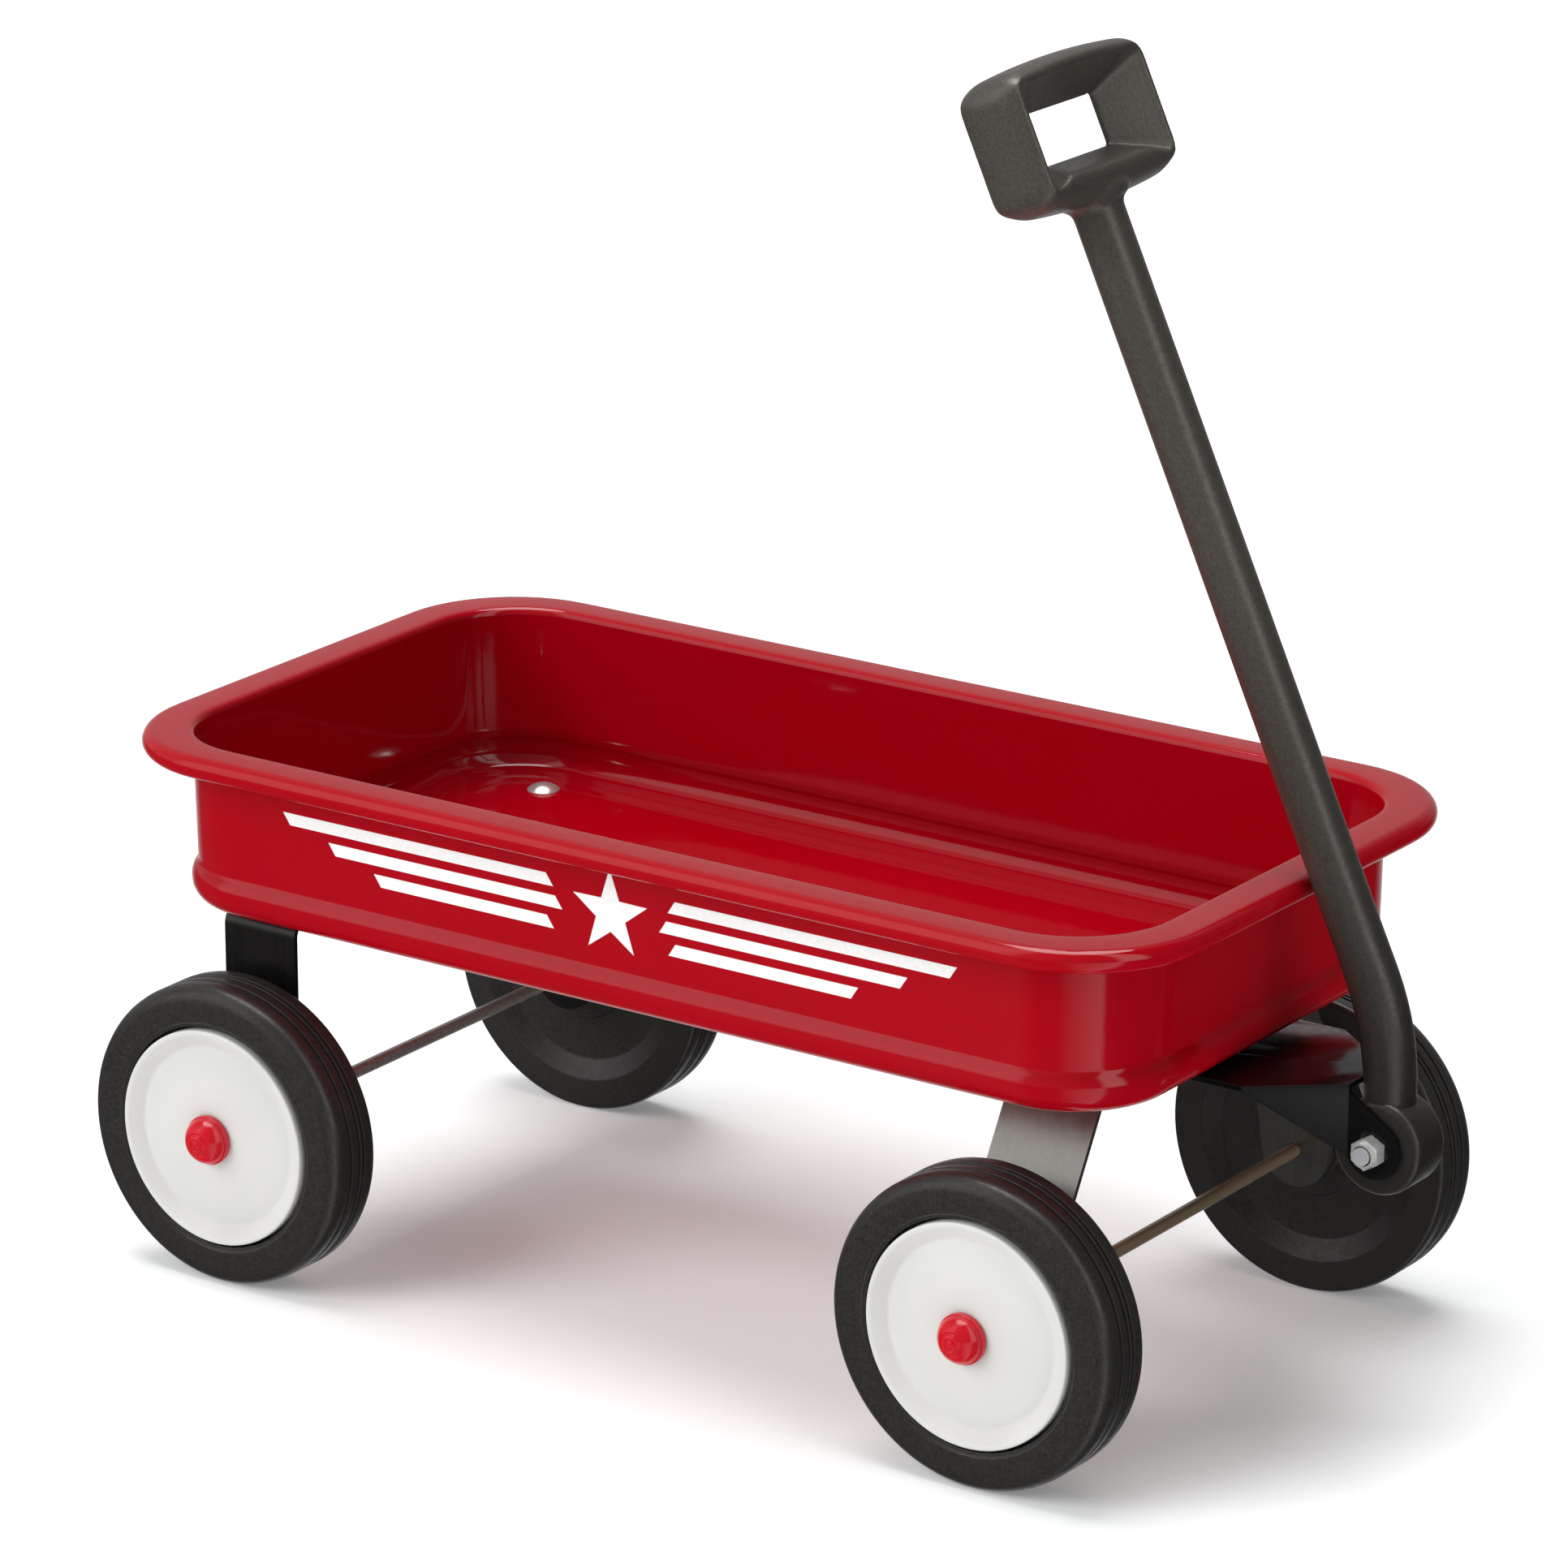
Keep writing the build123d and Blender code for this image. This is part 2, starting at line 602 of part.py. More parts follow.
with BuildPart() as pull_handle:
    with BuildSketch(side_plane(hub_width / 2)):
        with Locations((pivot_x, pivot_z)):
            Circle(hub_radius)
    extrude(amount=hub_width)
    fillet(pull_handle.edges(), 0.6)
    # the shaft: upright at its foot, then leaning back
    with BuildLine() as shaft_line:
        FilletPolyline((pivot_x, 0, pivot_z), bend, neck + along * neck_length, radius=shaft_bend_radius)
    with BuildSketch(Plane.XY.offset(pivot_z)):
        with Locations((pivot_x, 0)):
            Circle(shaft_radius)
    sweep(path=shaft_line.wires()[0])
    # the neck flares into the grip
    with BuildSketch(Plane(origin=neck - along * neck_length, x_dir=(0, 1, 0), z_dir=along)):
        Circle(shaft_radius)
    with BuildSketch(Plane(origin=neck + along * neck_length / 2, x_dir=(0, 1, 0), z_dir=along)):
        Circle(neck_radius)
    loft()
    add(grip)
    # the bore for the pivot sleeve
    with BuildSketch(side_plane()):
        with Locations((pivot_x, pivot_z)):
            Circle(sleeve_bore)
    extrude(amount=hub_width, both=True, mode=Mode.SUBTRACT)
save(pull_handle, "pull_handle")
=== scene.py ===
import math

import bmesh
import bpy
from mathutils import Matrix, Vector


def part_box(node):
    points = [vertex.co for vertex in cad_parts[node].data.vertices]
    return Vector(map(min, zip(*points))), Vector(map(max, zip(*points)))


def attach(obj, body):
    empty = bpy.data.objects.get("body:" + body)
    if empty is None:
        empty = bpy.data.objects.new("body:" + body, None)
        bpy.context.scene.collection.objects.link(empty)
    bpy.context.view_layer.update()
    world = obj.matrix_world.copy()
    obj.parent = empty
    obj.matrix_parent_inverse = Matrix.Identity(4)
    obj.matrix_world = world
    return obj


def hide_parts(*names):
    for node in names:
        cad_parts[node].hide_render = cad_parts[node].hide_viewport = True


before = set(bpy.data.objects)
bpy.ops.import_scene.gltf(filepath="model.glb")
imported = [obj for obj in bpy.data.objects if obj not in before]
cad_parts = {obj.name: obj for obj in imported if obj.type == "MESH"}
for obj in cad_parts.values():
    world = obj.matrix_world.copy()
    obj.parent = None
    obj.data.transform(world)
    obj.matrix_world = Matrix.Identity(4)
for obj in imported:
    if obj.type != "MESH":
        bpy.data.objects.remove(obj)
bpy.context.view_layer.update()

MM = 0.001
SIDES = {"left": 1, "right": -1}
ENDS = ("front", "rear")


# ---------------------------------------------------------------- materials

class Nodes:
    """A small helper for building one node material."""

    def __init__(self, name):
        self.material = bpy.data.materials.new(name)
        self.material.use_nodes = True
        self.tree = self.material.node_tree
        self.shader = self.tree.nodes["Principled BSDF"]
        self.place = self.tree.nodes.new("ShaderNodeTexCoord").outputs["Object"]

    def add(self, kind, **settings):
        node = self.tree.nodes.new(kind)
        for key, value in settings.items():
            setattr(node, key, value)
        return node

    def link(self, a, b):
        self.tree.links.new(a, b)

    def set(self, **values):
        for key, value in values.items():
            self.shader.inputs[key.replace("_", " ")].default_value = value

    def noise(self, scale, detail=2.0, roughness=0.5, stretch=None):
        node = self.add("ShaderNodeTexNoise")
        node.inputs["Scale"].default_value = scale
        node.inputs["Detail"].default_value = detail
        node.inputs["Roughness"].default_value = roughness
        source = self.place
        if stretch:
            mapping = self.add("ShaderNodeMapping")
            mapping.inputs["Scale"].default_value = stretch
            self.link(self.place, mapping.inputs["Vector"])
            source = mapping.outputs["Vector"]
        self.link(source, node.inputs["Vector"])
        return node.outputs["Fac"]

    def cells(self, scale, feature):
        node = self.add("ShaderNodeTexVoronoi", feature=feature)
        node.inputs["Scale"].default_value = scale
        self.link(self.place, node.inputs["Vector"])
        return node.outputs["Distance"]

    def ramp(self, value, stops):
        node = self.add("ShaderNodeValToRGB")
        elements = node.color_ramp.elements
        while len(elements) < len(stops):
            elements.new(0.5)
        for element, (position, colour) in zip(elements, stops):
            element.position = position
            element.color = (*colour, 1.0) if len(colour) == 3 else colour
        self.link(value, node.inputs["Fac"])
        return node.outputs["Color"]

    def span(self, value, low, high, to_low, to_high):
        node = self.add("ShaderNodeMapRange")
        for key, number in (("From Min", low), ("From Max", high), ("To Min", to_low), ("To Max", to_high)):
            node.inputs[key].default_value = number
        self.link(value, node.inputs["Value"])
        return node.outputs["Result"]

    def bumps(self, *layers):
        """Each layer is (height, strength, distance in metres); later layers ride on earlier ones."""
        normal = None
        for height, strength, distance in layers:
            node = self.add("ShaderNodeBump")
            node.inputs["Strength"].default_value = strength
            node.inputs["Distance"].default_value = distance
            self.link(height, node.inputs["Height"])
            if normal is not None:
                self.link(normal, node.inputs["Normal"])
            normal = node.outputs["Normal"]
        self.link(normal, self.shader.inputs["Normal"])


def red_paint():
    """Glossy red enamel with a trace of orange peel."""
    n = Nodes("red_paint")
    tone = n.ramp(n.noise(9.0), [(0.3, (0.355, 0.0003, 0.0055)), (0.7, (0.385, 0.0004, 0.0080))])
    n.link(tone, n.shader.inputs["Base Color"])
    n.set(IOR=1.5)
    n.link(n.span(n.noise(60.0, 3.0), 0.3, 0.7, 0.06, 0.10), n.shader.inputs["Roughness"])
    n.bumps((n.noise(260.0, 1.0), 0.05, 0.0004), (n.noise(28.0, 1.0), 0.05, 0.002))
    return n.material


def black_paint(name, base, roughness, speckle, grain):
    """Black paint on steel; speckle is how much lighter the dust-fine flecks are."""
    n = Nodes(name)
    flecks = n.ramp(n.noise(2600.0, 2.0, 0.7), [(0.45, base), (0.72, tuple(c + speckle for c in base))])
    n.link(flecks, n.shader.inputs["Base Color"])
    n.set(Specular_IOR_Level=0.35)
    n.link(n.span(n.noise(700.0, 3.0), 0.3, 0.7, roughness - 0.05, roughness + 0.07),
           n.shader.inputs["Roughness"])
    n.bumps((n.noise(900.0, 2.0), grain, 0.0002))
    return n.material


def blackened_steel(name, dark, light, inner):
    """Satin steel strap, blackened, with the fine upright lines left by rolling.

    Faces turned towards the wagon's middle get painted shade, darker by the factor inner.
    """
    n = Nodes(name)
    lines = n.noise(420.0, 3.0, 0.6, (1.0, 1.0, 0.04))
    blend = n.add("ShaderNodeMix", data_type="FLOAT")
    blend.inputs[0].default_value = 0.35
    n.link(lines, blend.inputs[2])
    n.link(n.noise(2400.0, 2.0, 0.6), blend.inputs[3])
    at, facing = n.add("ShaderNodeSeparateXYZ"), n.add("ShaderNodeSeparateXYZ")
    n.link(n.place, at.inputs["Vector"])
    n.link(n.add("ShaderNodeTexCoord").outputs["Normal"], facing.inputs["Vector"])
    # Painted shade: faces turned towards the wagon's middle, where the tray and wheels shade them, are darkened.
    painted_shade_mask = n.add("ShaderNodeMath", operation="MULTIPLY")
    n.link(at.outputs["Y"], painted_shade_mask.inputs[0])
    n.link(facing.outputs["Y"], painted_shade_mask.inputs[1])
    shade = n.add("ShaderNodeVectorMath", operation="SCALE")
    n.link(n.ramp(blend.outputs[0], [(0.36, dark), (0.64, light)]), shade.inputs[0])
    n.link(n.span(painted_shade_mask.outputs[0], -0.004, 0.004, inner, 1.0), shade.inputs["Scale"])
    n.link(shade.outputs["Vector"], n.shader.inputs["Base Color"])
    n.set(Metallic=0.92)
    n.link(n.span(lines, 0.3, 0.7, 0.29, 0.35), n.shader.inputs["Roughness"])
    n.bumps((lines, 0.02, 0.0002))
    return n.material


def lock_nut(low, high):
    """Zinc plate; within the crimped collar, at the -Y end of the box, shows the dark nylon ring."""
    n = Nodes("lock_nut")
    apart = n.add("ShaderNodeSeparateXYZ")
    n.link(n.place, apart.inputs["Vector"])
    middle = (low + high) / 2
    from_axis = n.add("ShaderNodeVectorMath", operation="DISTANCE")
    flat = n.add("ShaderNodeCombineXYZ")
    n.link(apart.outputs["X"], flat.inputs["X"])
    n.link(apart.outputs["Z"], flat.inputs["Z"])
    n.link(flat.outputs["Vector"], from_axis.inputs[0])
    from_axis.inputs[1].default_value = (middle.x, 0.0, middle.z)
    at_end = n.span(apart.outputs["Y"], low.y + 0.00002, low.y + 0.00008, 1.0, 0.0)
    inside = n.span(from_axis.outputs["Value"], 0.00285, 0.00295, 1.0, 0.0)
    ring = n.add("ShaderNodeMath", operation="MULTIPLY")
    n.link(at_end, ring.inputs[0])
    n.link(inside, ring.inputs[1])
    mix = n.add("ShaderNodeMix", data_type="RGBA")
    n.link(ring.outputs[0], mix.inputs[0])
    n.link(n.ramp(n.noise(700.0, 2.0), [(0.3, (0.74, 0.74, 0.72)), (0.7, (0.86, 0.86, 0.83))]), mix.inputs[6])
    mix.inputs[7].default_value = (0.03, 0.035, 0.045, 1.0)
    n.link(mix.outputs[2], n.shader.inputs["Base Color"])
    n.link(n.span(ring.outputs[0], 0.0, 1.0, 0.6, 0.0), n.shader.inputs["Metallic"])
    n.link(n.span(n.noise(300.0, 2.0), 0.3, 0.7, 0.24, 0.30), n.shader.inputs["Roughness"])
    n.bumps((n.noise(700.0, 1.0), 0.01, 0.0001))
    return n.material


def zinc(name, cool, warm, roughness, metallic):
    """Bright zinc plate with a faint passivation tint."""
    n = Nodes(name)
    tint = n.ramp(n.noise(130.0, 2.0, 0.5, (1.0, 0.08, 1.0)), [(0.3, cool), (0.7, warm)])
    n.link(tint, n.shader.inputs["Base Color"])
    n.set(Metallic=metallic)
    n.link(n.span(n.noise(300.0, 2.0), 0.3, 0.7, roughness - 0.03, roughness + 0.05),
           n.shader.inputs["Roughness"])
    n.bumps((n.noise(700.0, 1.0), 0.01, 0.0001))
    return n.material


def wheel_plastic():
    """Black moulded plastic with the fine grain of a spark-eroded mould."""
    n = Nodes("wheel_plastic")
    tone = n.ramp(n.noise(1500.0, 2.0, 0.6),
                  [(0.35, (0.016, 0.0145, 0.0131)), (0.75, (0.034, 0.0310, 0.0280))])
    n.link(tone, n.shader.inputs["Base Color"])
    n.set(Specular_IOR_Level=0.6)
    n.link(n.span(n.noise(420.0, 3.0), 0.3, 0.7, 0.28, 0.40), n.shader.inputs["Roughness"])
    n.bumps((n.noise(1300.0, 2.0), 0.20, 0.0002), (n.noise(90.0, 2.0), 0.05, 0.0006))
    return n.material


def handle_plastic():
    """Near-black moulded plastic with a leather grain; its colour is painted paler towards the grip, painted light for
    the stronger light that falls up there.
    """
    n = Nodes("handle_plastic")
    cells = n.cells(950.0, "SMOOTH_F1")
    grain = n.noise(1500.0, 2.0, 0.6)
    apart = n.add("ShaderNodeSeparateXYZ")
    n.link(n.place, apart.inputs["Vector"])
    # Painted light: the base colour is mixed from a darker low tone to a paler high tone with height up the handle.
    mix = n.add("ShaderNodeMix", data_type="RGBA")
    n.link(n.span(apart.outputs["Z"], 0.10, 0.24, 0.0, 1.0), mix.inputs[0])
    n.link(n.ramp(grain, [(0.35, (0.012, 0.0108, 0.0096)), (0.75, (0.024, 0.0218, 0.0192))]), mix.inputs[6])
    n.link(n.ramp(grain, [(0.35, (0.040, 0.0352, 0.0300)), (0.75, (0.072, 0.0640, 0.0545))]), mix.inputs[7])
    n.link(mix.outputs[2], n.shader.inputs["Base Color"])
    n.set(Specular_IOR_Level=1.0, Specular_Tint=(1.0, 0.95, 0.86, 1.0))
    n.link(n.span(cells, 0.1, 0.8, 0.32, 0.44), n.shader.inputs["Roughness"])
    n.bumps((cells, 0.20, 0.00018), (n.noise(2100.0, 2.0), 0.10, 0.0001))
    return n.material


def white_disc():
    """Off-white enamel."""
    n = Nodes("white_disc")
    tone = n.ramp(n.noise(35.0, 2.0), [(0.3, (0.625, 0.62, 0.60)), (0.7, (0.665, 0.66, 0.64))])
    n.link(tone, n.shader.inputs["Base Color"])
    n.link(n.span(n.noise(120.0), 0.3, 0.7, 0.28, 0.32), n.shader.inputs["Roughness"])
    n.bumps((n.noise(240.0, 1.0), 0.012, 0.0003))
    return n.material


def red_cap():
    """Glossy red plastic."""
    n = Nodes("red_cap")
    tone = n.ramp(n.noise(220.0, 2.0), [(0.3, (0.50, 0.004, 0.014)), (0.7, (0.56, 0.007, 0.018))])
    n.link(tone, n.shader.inputs["Base Color"])
    n.link(n.span(n.noise(300.0), 0.3, 0.7, 0.10, 0.18), n.shader.inputs["Roughness"])
    n.bumps((n.noise(500.0, 1.0), 0.012, 0.0002))
    return n.material


def white_print():
    """Screen-printed white ink."""
    n = Nodes("white_print")
    tone = n.ramp(n.noise(900.0, 2.0), [(0.3, (0.84, 0.82, 0.82)), (0.7, (0.90, 0.885, 0.88))])
    n.link(tone, n.shader.inputs["Base Color"])
    n.set(Roughness=0.3)
    n.bumps((n.noise(1400.0, 1.0), 0.05, 0.0001))
    return n.material


def studio_floor():
    """A pale translucent table, lit a little from beneath as product tables are."""
    n = Nodes("studio_floor")
    tone = n.ramp(n.noise(1.5), [(0.3, (0.925, 0.942, 0.942)), (0.7, (0.933, 0.95, 0.95))])
    n.link(tone, n.shader.inputs["Base Color"])
    n.set(Roughness=0.9, Specular_IOR_Level=0.0, Emission_Color=(1.0, 1.0, 1.0, 1.0), Emission_Strength=0.18)
    return n.material


RED = red_paint()
GLOSS_BLACK = black_paint("gloss_black", (0.0042, 0.0040, 0.0040), 0.15, 0.002, 0.02)
# One strap finish in lit and shaded copies: the front copy is paler as painted light, and the rear copy is darker as
# painted shade from the tray above it.
FRONT_STRAP_LIT = blackened_steel("blackened_steel_front_lit", (0.34, 0.332, 0.307), (0.42, 0.410, 0.381), 0.5)
REAR_STRAP_SHADED = blackened_steel("blackened_steel_rear_shaded", (0.054, 0.051, 0.049), (0.073, 0.069, 0.066), 0.8)
ZINC = zinc("zinc", (0.66, 0.67, 0.68), (0.78, 0.77, 0.72), 0.24, 0.75)
ZINC_BRIGHT = zinc("zinc_bright", (0.72, 0.74, 0.78), (0.82, 0.83, 0.84), 0.34, 0.6)
ZINC_YELLOW = zinc("zinc_yellow", (0.34, 0.245, 0.165), (0.40, 0.295, 0.20), 0.22, 0.55)
AXLE_ZINC = zinc("axle_zinc", (0.40, 0.37, 0.34), (0.50, 0.47, 0.43), 0.26, 0.6)
WHEEL = wheel_plastic()
HANDLE = handle_plastic()
DISC = white_disc()
CAP = red_cap()
PRINT = white_print()


# ---------------------------------------------------------------- mesh helpers

def make_piece(name, points, faces, body, material, replaces=(), crease=38.0):
    """A mesh piece from points in millimetres; edges sharper than crease degrees stay crisp."""
    mesh = bpy.data.meshes.new(name)
    mesh.from_pydata([tuple(c * MM for c in p) for p in points], [], faces)
    tidy = bmesh.new()
    tidy.from_mesh(mesh)
    bmesh.ops.remove_doubles(tidy, verts=tidy.verts, dist=1e-7)
    bmesh.ops.recalc_face_normals(tidy, faces=tidy.faces)
    tidy.to_mesh(mesh)
    tidy.free()
    return finish_piece(name, mesh, body, material, replaces, crease)


def finish_piece(name, mesh, body, material, replaces=(), crease=38.0):
    for polygon in mesh.polygons:
        polygon.use_smooth = True
    mesh.set_sharp_from_angle(angle=math.radians(crease))
    mesh.materials.clear()
    mesh.materials.append(material)
    piece = bpy.data.objects.new(name, mesh)
    bpy.context.scene.collection.objects.link(piece)
    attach(piece, body)
    if replaces:
        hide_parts(*replaces)
    return piece


def rounded(corners, steps=5):
    """An open line through (a, b, radius) corners, each one rounded to its radius."""
    line = []
    for i, (a, b, radius) in enumerate(corners):
        here = Vector((a, b))
        if radius <= 0 or i in (0, len(corners) - 1):
            line.append((a, b))
            continue
        back = (Vector(corners[i - 1][:2]) - here).normalized()
        ahead = (Vector(corners[i + 1][:2]) - here).normalized()
        half = math.acos(max(-1.0, min(1.0, back.dot(ahead)))) / 2
        if math.pi / 2 - half < 0.01:
            line.append((a, b))
            continue
        reach = radius / math.tan(half)
        middle = here + (back + ahead).normalized() * (radius / math.sin(half))
        first, last = here + back * reach - middle, here + ahead * reach - middle
        sweep = math.pi - 2 * half
        turn = 1 if first.x * last.y - first.y * last.x > 0 else -1
        for k in range(steps + 1):
            angle = turn * sweep * k / steps
            c, s = math.cos(angle), math.sin(angle)
            line.append((middle.x + first.x * c - first.y * s, middle.y + first.x * s + first.y * c))
    return line


def revolve(profile, x, z, side, count):
    """Turn an (r, w) profile about the axle line at (x, z); w is the distance from the wagon's middle."""
    points, faces = [], []
    for r, w in profile:
        for k in range(count):
            angle = 2 * math.pi * k / count
            points.append((x + r * math.cos(angle), side * w, z + r * math.sin(angle)))
    rows = len(profile)
    for i in range(rows):
        j = (i + 1) % rows
        for k in range(count):
            m = (k + 1) % count
            faces.append((i * count + k, i * count + m, j * count + m, j * count + k))
    return points, faces


# ---------------------------------------------------------------- wheels, discs and caps

GROOVES = (7.2, 11.0, 12.9)  # in from the outer face
GROOVE_WIDTH, GROOVE_DEPTH = 1.1, 0.9


def wheel_profile(low, high, radius):
    """The section of a wheel from its hub end at low to its outer face at high."""
    inner = high - 18.4
    corners = [(2.2, low, 0), (10.0, low, 0.5), (10.0, inner + 1.7, 0.6), (16.0, inner + 1.7, 0.4),
               (16.4, inner + 2.9, 0.5), (29.6, inner + 2.9, 2.2), (35.4, inner, 2.0), (radius, inner, 1.8)]
    for groove in reversed(GROOVES):
        middle = high - groove
        a, b = middle - GROOVE_WIDTH / 2, middle + GROOVE_WIDTH / 2
        corners += [(radius, a, 0.25), (radius - GROOVE_DEPTH, a + 0.2, 0.25), (radius - GROOVE_DEPTH, b - 0.2, 0.25),
                    (radius, b, 0.25)]
    corners += [(radius, high, 4.5), (34.6, high, 0.7), (34.0, high - 0.5, 0.3), (33.2, high - 0.6, 0.3),
                (33.2, high - 4.4, 0), (30.2, high - 4.4, 0), (30.2, 84.5, 0), (7.0, 84.5, 0),
                (7.0, high - 4.4, 0), (2.2, high - 4.4, 0)]
    return rounded(corners)


def disc_profile():
    """The section of a white disc: crowned middle, dished ring, rolled lip."""
    valley_r, valley_w, crown = 26.8, 94.6, 3.3
    sphere = (valley_r**2 + crown**2) / (2 * crown)
    middle = valley_w + crown - sphere
    face = [(r, middle + math.sqrt(sphere**2 - r * r)) for r in [2.4 + (valley_r - 3.6) * k / 14 for k in range(15)]]
    outer = rounded([(*face[-1], 0), (valley_r, valley_w, 1.6), (30.6, 97.35, 1.4), (31.4, 97.6, 0.5),
                     (32.2, 97.5, 0.5), (32.2, 92.6, 0), (30.2, 92.6, 0), (30.2, 90.0, 0), (28.6, 90.0, 0),
                     (28.6, 94.0, 0), (26.8, 93.0, 0), (2.4, 96.2, 0)])
    return face[:-1] + outer


def cap_profile():
    """The section of an axle cap: flange, step, dome and the two fine rings at its tip."""
    base, tip, dome_r = 98.05, 105.2, 6.8
    rise = tip - (base + 2.5)
    sphere = (dome_r**2 + rise**2) / (2 * rise)
    middle = tip - sphere
    line = rounded([(5.4, base, 0), (7.3, base, 0.15), (7.3, base + 1.75, 0.55), (6.75, base + 1.95, 0.12),
                    (dome_r, base + 2.5, 0)])
    for k in range(1, 61):
        r = dome_r * (1 - k / 60)
        w = middle + math.sqrt(sphere**2 - r * r)
        for ring, depth, width in ((3.2, 0.42, 0.36), (1.5, 0.36, 0.32)):
            w -= depth * math.exp(-(((r - ring) / width) ** 2))
        line.append((r, w))
    line += [(0.0, tip - 1.5), (5.4, base + 2.5)]
    return line


for end in ENDS:
    low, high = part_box(f"{end}_axle")
    axle_x, axle_z = (low.x + high.x) / 2 / MM, (low.z + high.z) / 2 / MM
    for side_name, side in SIDES.items():
        place = f"{end}_{side_name}"
        near, far = (sorted(abs(c.y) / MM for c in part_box(f"wheel_{place}")))
        radius = (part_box(f"wheel_{place}")[1].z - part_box(f"wheel_{place}")[0].z) / 2 / MM
        wheel_body = f"wheel_{place}_body"
        fixed_body = "steering" if end == "front" else "chassis"
        points, faces = revolve(wheel_profile(near, far, radius), axle_x, axle_z, side, 160)
        make_piece(f"wheel_{place}_moulded", points, faces, wheel_body, WHEEL, [f"wheel_{place}"])
        points, faces = revolve(disc_profile(), axle_x, axle_z, side, 128)
        make_piece(f"wheel_disc_{place}_enamelled", points, faces, wheel_body, DISC,
                   [f"wheel_disc_{place}"], 50.0)
        points, faces = revolve(cap_profile(), axle_x, axle_z, side, 72)
        make_piece(f"axle_cap_{place}_moulded", points, faces, fixed_body, CAP, [f"axle_cap_{place}"],
                   50.0)

# ---------------------------------------------------------------- tray

tray_low, tray_high = (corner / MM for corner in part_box("tray"))
TRAY_X = (tray_low.x + tray_high.x) / 2
RIM_HALF = ((tray_high.x - tray_low.x) / 2, (tray_high.y - tray_low.y) / 2)
RIM_CORNER, RIM_ROLL = 38.5, 3.4
FOOT_HALF, FOOT_CORNER = (163.4, 83.0), 30.4
FOOT_ROUND, FOOT_HEIGHT, FOOT_STEP = 6.6, 13.8, 2.1
SHEET = 0.9
DRAFT = math.tan(math.radians(1.2))
FLOOR_Z, RIM_Z = tray_low.z, tray_high.z


def wall_inset(z):
    """How far the outside of the wall stands inside the foot's outline at height z."""
    return FOOT_STEP - DRAFT * (z - FLOOR_Z - FOOT_ROUND)


def outline(half, corner, inset, z, corner_steps=12, long_steps=30, short_steps=14):
    """A level rounded rectangle, as a ring of points that line up from ring to ring."""
    a, b, r = half[0] - inset, half[1] - inset, max(corner - inset, 0.5)
    ring = []
    for sx, sy, start in ((1, 1, 0), (-1, 1, 90), (-1, -1, 180), (1, -1, 270)):
        cx, cy = sx * (a - r), sy * (b - r)
        for k in range(corner_steps + 1):
            angle = math.radians(start + 90 * k / corner_steps)
            ring.append((TRAY_X + cx + r * math.cos(angle), cy + r * math.sin(angle), z))
        if start in (0, 180):
            run, steps = (-sx * 2 * (a - r), 0), long_steps
        else:
            run, steps = (0, -sy * 2 * (b - r)), short_steps
        last = ring[-1]
        for k in range(1, steps):
            ring.append((last[0] + run[0] * k / steps, last[1] + run[1] * k / steps, z))
    return ring


def arc(count, start, stop):
    return [math.radians(start + (stop - start) * k / count) for k in range(count + 1)]


def tray_rings():
    """Rings from the middle of the underside, out, up, round the rim, and down inside to the floor."""
    foot = lambda inset, z: outline(FOOT_HALF, FOOT_CORNER, inset, z)
    rim = lambda inset, z: outline(RIM_HALF, RIM_CORNER, inset, z)
    low_z, high_z = FLOOR_Z + FOOT_ROUND, FLOOR_Z + FOOT_HEIGHT - FOOT_ROUND
    rings = []
    for inset in (24.0, 9.0):
        rings.append(foot(inset, FLOOR_Z))
    rings += [foot(FOOT_ROUND * (1 - math.cos(t)), low_z + FOOT_ROUND * math.sin(t)) for t in arc(9, -90, 0)]
    stop = math.degrees(math.acos((FOOT_ROUND - wall_inset(118)) / FOOT_ROUND))
    rings += [foot(FOOT_ROUND * (1 - math.cos(t)), high_z + FOOT_ROUND * math.sin(t)) for t in arc(6, 4, stop - 4)]
    rings.append(foot(wall_inset(118.6) + 0.05, 118.6))
    rings += [foot(wall_inset(z), z) for z in (119.3, 126.0, 134.0, 142.0, 150.0, 153.0)]
    under = RIM_Z - SHEET
    inset = wall_inset(under)
    rings += [foot(inset - 2.6 * (1 - math.cos(t)), under - 2.6 + 2.6 * math.sin(t)) for t in arc(5, 15, 90)]
    roll_z = RIM_Z - RIM_ROLL
    inside = RIM_ROLL - SHEET
    rings += [rim(RIM_ROLL - inside * math.cos(t), roll_z + inside * math.sin(t)) for t in arc(14, 90, -150)]
    rings += [rim(RIM_ROLL - RIM_ROLL * math.cos(t), roll_z + RIM_ROLL * math.sin(t)) for t in arc(18, -150, 90)]
    inner_top = wall_inset(RIM_Z - 2) + SHEET
    rings.append(foot(inner_top - 4.6, RIM_Z))
    rings += [foot(inner_top - 2.3 + 2.3 * math.sin(t), RIM_Z - 2.3 + 2.3 * math.cos(t)) for t in arc(7, 0, 90)]
    rings += [foot(wall_inset(z) + SHEET, z) for z in (150.0, 142.0, 134.0, 126.0, 120.0)]
    inner = FOOT_ROUND - SHEET
    stop = math.degrees(math.acos((FOOT_ROUND - wall_inset(118) - SHEET) / inner))
    rings += [foot(FOOT_ROUND - inner * math.cos(t), high_z + inner * math.sin(t)) for t in arc(6, stop - 4, 4)]
    rings += [foot(FOOT_ROUND - inner * math.cos(t), low_z + inner * math.sin(t)) for t in arc(8, 0, -90)]
    top = FLOOR_Z + SHEET
    for inset, drop in ((7.5, 0.2), (9.0, 0.3), (14.5, 0.3), (15.6, 0.24), (16.7, 0.06), (17.8, 0.0), (26.0, 0.0)):
        rings.append(foot(inset, top - drop))
    return rings


